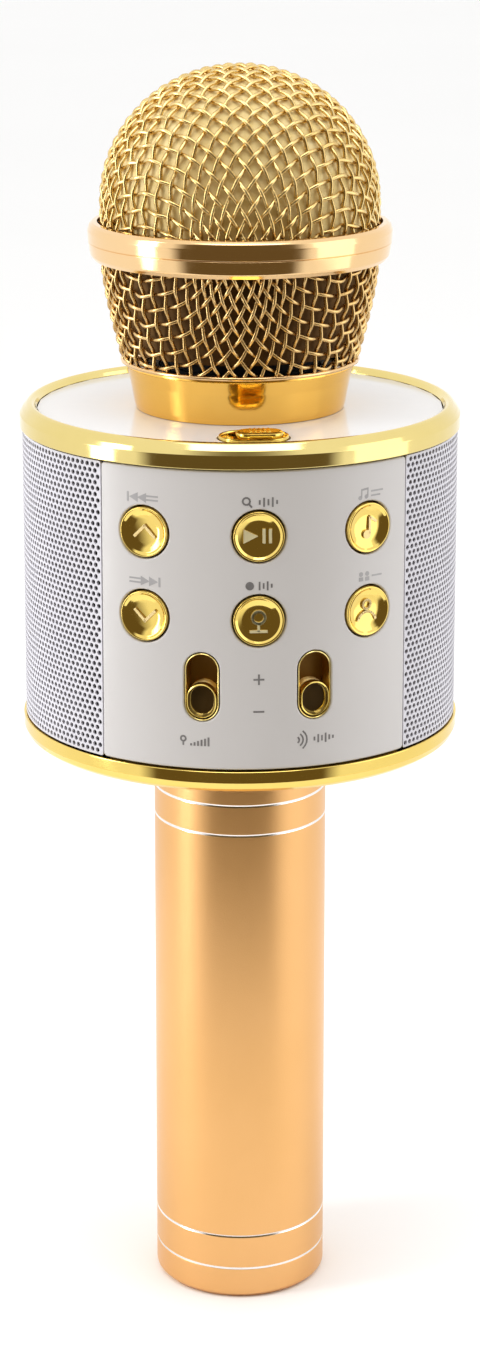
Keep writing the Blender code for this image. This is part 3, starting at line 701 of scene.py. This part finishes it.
def board_finish():
    """Green circuit board with a pattern of tracks under the lacquer."""
    result = finish("circuit_board", (0.01, 0.11, 0.045), (0.015, 0.15, 0.06), (0.30, 0.42), 0, 1500, 90, 0.1)
    tree = result.node_tree
    shader = tree.nodes["Principled BSDF"]
    tracks = add_node(tree, "TexBrick", Vector=mapped(tree, Rotation=(pi / 2, 0, 0)), Scale=160, Mortar_Size=0.06,
                      Color1=(0.010, 0.12, 0.05, 1), Color2=(0.012, 0.14, 0.055, 1), Mortar=(0.05, 0.30, 0.12, 1))
    feed(tree, shader, Base_Color=tracks.outputs["Color"])
    return result


FINISHES["circuit_board"] = board_finish()


# ---- head ----------------------------------------------------------------------------------------
DOME_TURN, BASKET_TURN = -2.2, -4.7      # azimuths at which a diagonal of the weave faces outwards


def make_head():
    body = "grille_head"
    store("woven_dome", woven(dome_profile(MESH_DEPTH), DOME_PITCH, DOME_TURN, HEAD_JOIN + 0.6, 300),
          "mesh_gold", "grille_dome", body=body, sharp=180, weighted=False)
    # The lower cup's wires take a darker copy of the wire gold: painted shade.
    store("woven_basket",
          woven(basket_profile(MESH_DEPTH), BASKET_PITCH, BASKET_TURN, BASKET_FOOT, HEAD_JOIN - 0.6), "shaded_cup_gold",
          "grille_basket", body=body, sharp=180, weighted=False)
    ring = rounded([(25.9, 197.4, 0.1), (26.6, 197.4, 0.15), (27.2, 198.2, 0.9), (27.55, 200.5, 0.1),
                    (27.40, 200.62, 0.03), (27.6, 200.75, 0.1), (27.7, 202.6, 0.8), (27.4, 203.6, 0.6),
                    (26.8, 204.1, 0.4), (25.9, 204.2, 0.1)])
    store("head_ring", turned(ring), "ring_gold", "grille_ring", body=body)
    collar = rounded([(18.4, 170.06, 0.1), (19.1, 170.06, 0.08), (19.35, 171, 0.8), (19.7, 173, 4),
                      (20.2, 175.6, 5), (20.85, 177.9, 0.6), (20.9, 178.45, 0.15), (18.4, 178.45, 0.1)])
    store("head_collar", turned(collar), "collar_gold", "grille_collar", body=body)
    lip = rounded([(20.6, 178.5, 0.2), (21.75, 178.5, 0.25), (21.95, 178.95, 0.3), (21.6, 179.25, 0.2),
                   (20.6, 179.1, 0.2)])
    store("basket_lip", turned(lip), "ring_gold", body=body)

    outer = [p for p in dome_profile(FOAM_DEPTH) if p[1] > HEAD_JOIN + 0.1]
    inner = [p for p in dome_profile(FOAM_DEPTH + FOAM_WALL) if p[1] > HEAD_JOIN + 0.1]
    foam = store("dome_lining", turned([tuple(p) for p in outer] + [tuple(p) for p in inner[::-1]], 96), "foam",
                 "foam_liner", body=body, sharp=60)
    # Painted shade: a dark brown sheet inside the lower cup stands for the shaded inside of the head seen through
    # the wires.
    levels = np.linspace(181, HEAD_JOIN - 0.1, 24)
    skin = 1.9          # outer face of the painted shade sheet under the basket's outermost point
    cup = [(float(basket_radius(z)) - skin, z) for z in levels]
    cup += [(float(basket_radius(z)) - skin - FOAM_WALL, z) for z in levels[::-1]]
    cup_shade_sheet = store("basket_shade_sheet", turned(cup, 96), "painted_shade_sheet", body=body, sharp=60)


# ---- drum ----------------------------------------------------------------------------------------
def make_rims():
    top = rounded([(37.2, 166.7, 0.1), (40.35, 166.7, 0.2), (40.35, 169.1, 0.4), (39.85, 169.95, 0.7),
                   (39, 170.95, 1), (38.3, 171.3, 0.8), (37.6, 170.8, 0.8), (37.2, 170.08, 0.1)])
    # The top rim takes the paler, creamier copy of the plated gold: partly painted highlight.
    store("drum_rim_top", turned(top, 256), "rim_gold_painted_highlight", "top_rim")
    bottom = rounded([(37.6, 108.6, 0.1), (39, 108.8, 0.6), (39.9, 109.5, 0.8), (40.35, 110.6, 0.8),
                      (40.35, 112.7, 0.2), (37.6, 112.7, 0.1)])
    store("drum_rim_bottom", turned(bottom, 256), "plated_gold", "bottom_rim")


def make_top():
    shape = plate((0, 0, 2 * PLATE_R, 2 * PLATE_R, PLATE_R),
                           [(0, 0, 12, 12, 6), (0, POWER_Y, 13, 9.6, 4.8)],
                           PLATE_WALL, 0.05, (1.5, 1.5), level(PLATE_TOP))
    store("top_deck", shape, "white_deck", "top_plate")
    at_switch = Matrix.Translation((0, POWER_Y, 0))
    bezel = swept([(0, 168.6), (0, 170.35), (-0.08, 170.52), (-0.25, 170.6), (-0.42, 170.52), (-0.6, 170.2),
                   (-0.6, 168.6)], 12.4, 9, closed=True, steps=16)
    store("power_surround", moved(bezel, at_switch), "plated_gold", "power_bezel")
    dust_cover = swept([(0, 169), (0, 169.45), (-0.1, 169.55)], 11.1, 7.7, steps=16)
    store("power_dust_cover", moved(dust_cover, at_switch), "plated_gold")
    knob = swept([(-0.3, 169.6), (0, 169.75), (0, 170.75), (-0.1, 171.1), (-0.35, 171.3), (-0.7, 171.35)],
                 8.4, 5, steps=12)
    ridges = [moved(swept([(0, 171.25), (0, 171.45), (-0.1, 171.53)], 0.45, 3.2, steps=4),
                    Matrix.Translation((x, 0, 0))) for x in (-1.6, -0.8, 0, 0.8, 1.6)]
    cap = moved(joined([knob] + ridges), Matrix.Translation((POWER_X, POWER_Y - 0.3, 0)))
    store("power_cap", cap, "plated_gold", "power_knob", body="power_slider")


def panel_box():
    width = 2 * DRUM_R * radians(SEAM_AZIMUTH - SEAM_HALF_ANGLE)
    return (0, (PANEL_BOTTOM + PANEL_TOP) / 2, width, PANEL_TOP - PANEL_BOTTOM, 0.7)


def arc(azimuth):
    return DRUM_R * radians(azimuth)


def make_panels():
    holes = [(arc(azimuth), z, 2 * BUTTON_HOLE_R, 2 * BUTTON_HOLE_R, BUTTON_HOLE_R)
             for azimuth in (-BUTTON_COLUMN, 0, BUTTON_COLUMN) for z in BUTTON_ROWS]
    holes += [(arc(azimuth), SLOT_CENTRE, SLOT_WIDTH, SLOT_HEIGHT, SLOT_WIDTH / 2)
              for azimuth in (-SLIDER_AZIMUTH, SLIDER_AZIMUTH)]
    shape = plate(panel_box(), holes, PANEL_WALL, 0.35, (1.2, 3), on_drum(0))
    store("control_panel", shape, "white_satin", "front_panel")
    holes = [(0, PORTS_Z, 8.2, 3.7, 1.6), (arc(-22), PORTS_Z, 13.2, 3, 0.5), (arc(22), PORTS_Z, 7, 7, 3.5)]
    shape = plate(panel_box(), holes, PANEL_WALL, 0.3, (1.2, 3), on_drum(180))
    store("back_panel", shape, "white_satin", "rear_panel")
    for side, azimuth in (("left", -90), ("right", 90)):
        store(f"perforated_grille_{side}", perforated(azimuth, 90 - SEAM_AZIMUTH - 0.1 * SEAM_HALF_ANGLE),
              "white_metal", f"speaker_grille_{side}", weighted=False)
        width = 2 * CLOTH_R * radians(90 - SEAM_AZIMUTH - 2 * SEAM_HALF_ANGLE)
        cloth = (0, (PANEL_BOTTOM + PANEL_TOP) / 2, width, PANEL_TOP - PANEL_BOTTOM - 0.2, 0.3)
        shape = plate(cloth, [], CLOTH_WALL, 0.05, (1.8, 6), on_drum(azimuth, CLOTH_R))
        store(f"speaker_cloth_{side}", shape, "cloth")


# ---- marks: small generic signs ------------------------------------------------------------------
def bar(x, y, width, height):
    return [(x - width / 2, y - height / 2), (x + width / 2, y - height / 2),
            (x + width / 2, y + height / 2), (x - width / 2, y + height / 2)]


def triangle(x, y, size, way):
    return [(x - way * size / 2, y - size / 2), (x + way * size / 2, y), (x - way * size / 2, y + size / 2)]


def disc(x, y, radius, count=16):
    return [(x + radius * cos(2 * pi * k / count), y + radius * sin(2 * pi * k / count))
            for k in range(count)]


def stroke(points, width):
    """Short bars along a line of points."""
    shapes = []
    for (x1, y1), (x2, y2) in zip(points, points[1:]):
        length = hypot(x2 - x1, y2 - y1)
        nx, ny = -(y2 - y1) / length * width / 2, (x2 - x1) / length * width / 2
        ex, ey = (x2 - x1) / length * width / 3, (y2 - y1) / length * width / 3
        shapes.append([(x1 - ex - nx, y1 - ey - ny), (x2 + ex - nx, y2 + ey - ny),
                       (x2 + ex + nx, y2 + ey + ny), (x1 - ex + nx, y1 - ey + ny)])
    return shapes


def arc_points(x, y, radius, start, end, count=8):
    return [(x + radius * cos(radians(start + (end - start) * k / count)),
             y + radius * sin(radians(start + (end - start) * k / count))) for k in range(count + 1)]


def raised(shapes, low, high):
    return joined([extruded(shape, low, high) for shape in shapes])


def make_prints():
    high = 1.7
    steps_back = [bar(-3, 0, 0.35, high), triangle(-1.9, 0, high, -1), triangle(-0.3, 0, high, -1),
                  bar(1.6, 0.35, 2.4, 0.3), bar(1.6, -0.35, 2.4, 0.3)]
    steps_on = [[(-x, y) for x, y in shape][::-1] for shape in steps_back]
    search = stroke(arc_points(-2.2, 0.2, 0.62, 0, 360, 14), 0.3) + stroke([(-1.75, -0.3), (-1.3, -0.8)], 0.32)
    search += [bar(0.1 + 0.75 * k, 0, 0.32, height) for k, height in enumerate((0.8, 1.6, 1.1, 1.7, 0.7))]
    record = [disc(-1.6, 0, 0.75)] + [bar(0.1 + 0.7 * k, 0, 0.3, h) for k, h in enumerate((1.5, 1, 1.6, 0.7))]
    notes = [disc(-1.9, -0.6, 0.38), disc(-0.6, -0.45, 0.38), bar(-1.6, 0.15, 0.22, 1.5), bar(-0.3, 0.3, 0.22, 1.5)]
    notes += stroke([(-1.6, 0.8), (-0.3, 0.95)], 0.34) + [bar(1.7, 0.4, 2.6, 0.3), bar(1.4, -0.4, 2, 0.3)]
    people = [disc(-1.6, 0.5, 0.42), disc(-0.3, 0.5, 0.42), bar(-1.6, -0.4, 0.9, 0.7), bar(-0.3, -0.4, 0.9, 0.7),
              bar(1.8, 0, 2.2, 0.3)]
    voice = stroke(arc_points(-3.3, 0.35, 0.45, 0, 360, 12), 0.3) + [bar(-3.3, -0.5, 0.3, 0.7)]
    voice += [bar(-1.9 + 0.62 * k, -0.65 + 0.12 * k, 0.34, 0.4 + 0.24 * k) for k in range(6)]
    echo = sum([stroke(arc_points(-3.4, 0, r, -50, 50, 6), 0.28) for r in (0.6, 1.3, 2)], [])
    echo += [bar(0 + 0.7 * k, 0, 0.32, h) for k, h in enumerate((0.7, 1.5, 1, 1.7, 0.9, 0.6))]
    plus = [bar(0, 0, 1.9, 0.32), bar(0, 0.55, 0.32, 0.8), bar(0, -0.55, 0.32, 0.8)]
    signs = (("previous", -BUTTON_COLUMN, PRINT_ROWS[0], steps_back),
             ("next", -BUTTON_COLUMN, PRINT_ROWS[1], steps_on),
             ("scan", 0, PRINT_ROWS[0], search), ("record", 0, PRINT_ROWS[1], record),
             ("sound", BUTTON_COLUMN, PRINT_ROWS[0], notes), ("friend", BUTTON_COLUMN, PRINT_ROWS[1], people),
             ("voice_level", -SLIDER_AZIMUTH, 118.1, voice), ("echo_level", SLIDER_AZIMUTH, 118.1, echo),
             ("plus", 0, 129.4, plus), ("minus", 0, 123.6, [bar(0, 0, 1.9, 0.32)]))
    for name, azimuth, z, shapes in signs:
        shade = "pale_ink" if name in ("previous", "next", "sound", "friend") else "ink"
        store("mark_" + name, wrapped(raised(shapes, *PRINT_LEVELS), azimuth, z), shade, weighted=False)
    port = [disc(0, 0, 0.5), bar(0, 1.2, 0.3, 1.6), triangle(0, 2.2, 0.9, 1)]
    for name, azimuth, shapes in (("charge", 180, port), ("card", 158, [bar(0, 0.6, 2.2, 1.6)]),
                                  ("aux", 202, stroke(arc_points(0, 1.2, 1.2, 0, 360, 16), 0.3))):
        store("mark_" + name, wrapped(raised(shapes, *PRINT_LEVELS), azimuth, PORTS_Z + 5), "ink",
              weighted=False)


# ---- controls ------------------------------------------------------------------------------------
def button_signs():
    """Raised signs on the six buttons, in each button's own frame."""
    up = stroke([(-1.9, -0.9), (0, 1), (1.9, -0.9)], 0.5)
    down = stroke([(-1.9, 0.9), (0, -1), (1.9, 0.9)], 0.5)
    play = [triangle(-1.4, 0, 2.5, 1), bar(0.9, 0, 0.5, 2.5), bar(2, 0, 0.5, 2.5)]
    record = stroke(arc_points(0, 0.5, 1.1, 0, 360, 20), 0.42) + stroke([(0, -0.7), (0, -1.9)], 0.42)
    record += stroke([(-1.4, -2), (1.4, -2)], 0.42)
    sound = [bar(0.5, 0.3, 0.45, 3), disc(-0.1, -1.3, 0.8)] + stroke([(0.6, 1.7), (1.8, 0.9)], 0.5)
    friend = stroke(arc_points(0, 1.1, 0.8, 0, 360, 16), 0.42) + stroke(arc_points(0, -2.1, 1.9, 15, 165, 10), 0.45)
    return (("button_prev", "key_prev", -BUTTON_COLUMN, 0, up), ("button_next", "key_next", -BUTTON_COLUMN, 1, down),
            ("button_play", "key_play", 0, 0, play), ("button_record", "key_record", 0, 1, record),
            ("button_upper_right", "key_upper_right", BUTTON_COLUMN, 0, sound),
            ("button_lower_right", "key_lower_right", BUTTON_COLUMN, 1, friend))


def make_controls():
    cap = rounded([(0, -4.4, 0), (1.5, -4.4, 0.1), (1.5, -3.6, 0.1), (5.5, -3.6, 0.15), (5.5, -2.8, 0.15),
                   (BUTTON_R, -2.8, 0.1), (BUTTON_R, -0.3, 0.3), (4.35, 0.12, 0.2), (4.1, 0.06, 0.2),
                   (3.7, -0.26, 0.5), (2.6, -0.66, 3), (0, -0.80, 0)], 6)
    for node, body, azimuth, row, signs in button_signs():
        at_button = place(azimuth, DRUM_R, BUTTON_ROWS[row])
        store(node.replace("button", "key_cap"), moved(turned(cap, 96), at_button), "plated_gold", node,
              body=body)
        # The middle column's signs take a brighter gold than the side columns': painted highlight.
        store(node.replace("button", "key_sign"), moved(raised(signs, *SIGN_LEVELS), at_button),
              "satin_gold" if azimuth else "lit_sign_gold", body=body, weighted=False)
    lining = [(0, -3.1), (0, -0.4), (-0.25, -0.4), (-0.25, -3.1)]
    slot_rim = [(0, -0.38), (0, -0.1), (-0.04, -0.02), (-0.125, 0.03), (-0.21, -0.02), (-0.25, -0.1), (-0.25, -0.38)]
    knob = [(-0.2, -1.25), (0, -1.1), (0, -0.1), (-0.05, 0.06), (-0.16, 0.14), (-0.28, 0.1), (-0.36, -0.05),
            (-0.45, -0.5), (-0.7, -0.8)]
    skirt = [(-0.3, -3.8), (-0.02, -3.6)]
    for groove_level in (-3.05, -2.4, -1.75):
        skirt += [(-0.02, groove_level - 0.2), (-0.2, groove_level), (-0.02, groove_level + 0.2)]
    skirt += [(-0.02, -1.4), (-0.2, -1.35)]
    dish = [(-0.5, -0.85), (-0.5, -0.7), (-1.2, -0.74)]
    band = [(0, -3.55), (0, -3.35), (-0.1, -3.25)]
    for side, azimuth in (("mic", -SLIDER_AZIMUTH), ("remix", SLIDER_AZIMUTH)):
        # The linings inside the slots take a darker gold: painted shade in the recess.
        store(f"slot_lining_{side}",
              wrapped(swept(lining, LINING_WIDTH, LINING_HEIGHT, closed=True, steps=14), azimuth, SLOT_CENTRE),
              "bore_gold_painted_shade", f"slot_bezel_{side}")
        # The slot rims take the paler, creamier copy of the plated gold: partly painted highlight.
        store(f"slot_rim_{side}",
              wrapped(swept(slot_rim, LINING_WIDTH, LINING_HEIGHT, closed=True, steps=14), azimuth, SLOT_CENTRE),
              "rim_gold_painted_highlight")
        at_knob, body = place(azimuth, DRUM_R, KNOB_REST), f"slider_{side}"
        store(f"slider_cap_{side}", moved(swept(knob, KNOB_WIDTH, KNOB_HEIGHT, steps=14), at_knob), "plated_gold",
              f"slider_knob_{side}", body=body)
        store(f"slider_skirt_{side}", moved(swept(skirt, KNOB_WIDTH, KNOB_HEIGHT, steps=14), at_knob), "satin_gold",
              body=body, sharp=20)
        store(f"slider_dish_{side}", moved(swept(dish, KNOB_WIDTH, KNOB_HEIGHT, steps=14), at_knob), "dish",
              body=body)
        store(f"slider_band_{side}", moved(swept(band, BAND_WIDTH, BAND_HEIGHT, 0.6), at_knob), "band", body=body)


def make_ports():
    shell = swept([(0, 34), (0, 39.1), (-0.1, 39.2), (-0.35, 39.1), (-0.35, 34.6)], 7.6, 3.1, 1.4)
    tongue = swept([(0, 34.5), (0, 38.4), (-0.1, 38.5)], 5.6, 0.7, 0.2)
    store("charge_socket", moved(shell, place(180, 0, PORTS_Z)), "steel", "charge_port")
    store("charge_tongue", moved(tongue, place(180, 0, PORTS_Z)), "black_plastic")
    card = swept([(0, 28), (0, 38.8), (-0.1, 38.9), (-0.6, 38.8), (-0.7, 38.5), (-0.7, 28.6)], 12.6, 2.4, 0.8)
    store("card_socket", moved(card, place(158, 0, PORTS_Z)), "black_plastic", "card_slot")
    jack = rounded([(0, 26, 0), (3.2, 26, 0.2), (3.2, 39.3, 0.3), (1.8, 39.3, 0.3), (1.8, 27, 0.2),
                    (0, 27, 0)])
    store("aux_socket", moved(turned(jack, SMALL_SIDES), place(202, 0, PORTS_Z)), "black_plastic",
          "aux_jack")


# ---- handle --------------------------------------------------------------------------------------
def make_handle():
    bore, groove, wide = HANDLE_R - 1.3, 0.2, 0.28
    outline = [(bore, 6.25, 0.1), (HANDLE_R, 6.25, 0.12)]
    for z in GROOVES:
        outline += [(HANDLE_R, z - wide, 0.03), (HANDLE_R - groove, z, 0.05), (HANDLE_R, z + wide, 0.03)]
    outline += [(HANDLE_R, 109.3, 0.1), (bore, 109.3, 0.1)]
    store("handle_sleeve", turned(rounded(outline, 3), ROUND_SIDES), "handle_gold", "handle_tube")
    for number, z in enumerate(GROOVES):
        ring = [(HANDLE_R - 0.3, z - 0.1), (HANDLE_R - 0.015, z - 0.27), (HANDLE_R - 0.13, z),
                (HANDLE_R - 0.015, z + 0.27), (HANDLE_R - 0.3, z + 0.1)]
        store(f"cut_ring_{number}", turned(ring), "silver", sharp=20)
    seam = rounded([(HANDLE_R - 1, 5.85, 0.02), (HANDLE_R - 0.02, 5.85, 0.06), (HANDLE_R - 0.02, 6.35, 0.06),
                    (HANDLE_R - 1, 6.35, 0.02)], 3)
    store("cut_ring_seam", turned(seam), "silver")
    plug = HANDLE_R - 1.6
    cap = rounded([(0, 0, 0), (15.2, 0, 0.5), (HANDLE_R, 0.9, 0.9), (HANDLE_R, 5.95, 0.15), (plug, 5.95, 0.1),
                   (plug, 16, 0.3), (0, 16, 0)])
    store("handle_foot", turned(cap), "handle_gold", "end_cap")


# ---- pieces carried over from the part -----------------------------------------------------------
def finish_carried_nodes():
    """Materials for the CAD nodes that show or can be uncovered, found by how their names start."""
    looks = {
        "black_plastic": ("inner_frame", "bottom_plate", "power_switch", "slide_pot", "baffle", "handle_socket",
                          "battery_tray", "neck_boss", "collar_thread_ring", "tact_switch"),
        "rubber": ("capsule_cup",),
        "steel": ("mic_capsule", "speaker_frame", "battery_spring", "base_screw"),
        "magnet": ("speaker_magnet",),
        "paper_cone": ("speaker_cone",),
        "circuit_board": ("switch_board", "main_board"),
        "cell_wrap": ("battery_cell",),
    }
    for name, node in NODES.items():
        for look, starts in looks.items():
            if name.startswith(starts):
                node.data.materials.clear()
                node.data.materials.append(FINISHES[look])


# ---- stage, light and camera ---------------------------------------------------------------------
TABLE_REACH, FLOOR_REACH, FLOOR_LEVEL = 200, 9000, -0.02
BACKDROP = (0.85, 0.85, 0.85, 1)         # what the camera sees behind the floor
DARK_SIDE = (0.13, 0.095, 0.045)         # what polished metal mirrors from the camera's side
DARK_EDGE = (0.56, 0.68)                 # cosines from the camera's azimuth between which the sky turns dark
SKY_STRENGTH = 1.15
CAMERA_LENS, CAMERA_SENSOR, CAMERA_SHIFT = 80.33, 36, -0.1836
CAMERA_AZIMUTH, CAMERA_DISTANCE, CAMERA_HEIGHT, CAMERA_PITCH = -4.7, 544, 281, 12


def flat_ring(name, inner, outer, material):
    """Level ring round the origin, or a disc if inner is 0."""
    count = 96
    angles = np.arange(count) * 2 * pi / count
    points = [(radius * cos(a), radius * sin(a), FLOOR_LEVEL) for radius in (outer, inner) if radius
              for a in angles]
    faces = [tuple(range(count))]
    if inner:
        faces = [(k, (k + 1) % count, count + (k + 1) % count, count + k) for k in range(count)]
    mesh = bpy.data.meshes.new(name)
    mesh.from_pydata((np.array(points) * MM).tolist(), [], faces)
    mesh.materials.append(material)
    ring = add_object(name, mesh)
    return ring


def make_stage():
    """Pale table top, and the same level floor round it that polished metal doesn't mirror."""
    pale = finish("pale_floor", (0.94, 0.94, 0.94), (0.95, 0.95, 0.95), (0.60, 0.70), 0, 40, 3, 0,
                  Specular_IOR_Level=0.1)
    flat_ring("table_top", 0, TABLE_REACH, pale)
    surround = flat_ring("floor", TABLE_REACH, FLOOR_REACH, pale)
    surround.visible_glossy = False
    surround.visible_diffuse = False


LIGHTS_AIM = Vector((0, 0, 120)) * MM


def add_panel_light(name, azimuth, distance, height, width, tall, power):
    light = bpy.data.lights.new(name, "AREA")
    light.shape = "RECTANGLE"
    light.size, light.size_y = width * MM, tall * MM
    light.energy = power
    lamp = add_object(name, light)
    a = radians(azimuth)
    lamp.location = Vector((distance * sin(a), -distance * cos(a), height)) * MM
    lamp.rotation_euler = (LIGHTS_AIM - lamp.location).to_track_quat("-Z", "Y").to_euler()


def make_light():
    world = bpy.data.worlds.new("tent")
    bpy.context.scene.world = world
    world.use_nodes = True
    tree = world.node_tree
    background = tree.nodes["Background"]
    a = radians(CAMERA_AZIMUTH)
    facing = add_node(tree, "VectorMath")
    facing.operation = "DOT_PRODUCT"
    tree.links.new(add_node(tree, "TexCoord").outputs["Generated"], facing.inputs[0])
    facing.inputs[1].default_value = (sin(a), -cos(a), 0)
    shade = ramp(tree, facing.outputs["Value"], (1, 1, 1), DARK_SIDE, *DARK_EDGE)
    seen = add_node(tree, "MixRGB", Fac=add_node(tree, "LightPath").outputs["Is Camera Ray"], Color1=shade,
                    Color2=BACKDROP)
    feed(tree, background, Color=seen.outputs["Color"], Strength=SKY_STRENGTH)
    add_panel_light("left_softbox", -78, 620, 260, 180, 700, 1.4)
    add_panel_light("left_strip", -78, 600, 260, 60, 700, 0.7)
    add_panel_light("right_softbox", 72, 620, 260, 420, 700, 0.8)
    add_panel_light("top_softbox", 0, 200, 760, 450, 350, 1.6)


def make_camera():
    a = radians(CAMERA_AZIMUTH)
    camera = bpy.data.cameras.new("camera")
    camera.lens, camera.sensor_width = CAMERA_LENS, CAMERA_SENSOR
    camera.shift_y = CAMERA_SHIFT
    camera.clip_start, camera.clip_end = 0.01, 20
    view = add_object("camera", camera)
    view.location = Vector((CAMERA_DISTANCE * sin(a), -CAMERA_DISTANCE * cos(a), CAMERA_HEIGHT)) * MM
    view.rotation_euler = (radians(90 - CAMERA_PITCH), 0, a)
    bpy.context.scene.camera = view


make_head()
make_rims()
make_top()
make_panels()
make_prints()
make_controls()
make_ports()
make_handle()
finish_carried_nodes()
make_stage()
make_light()
make_camera()
bpy.context.scene.view_settings.view_transform = "Standard"
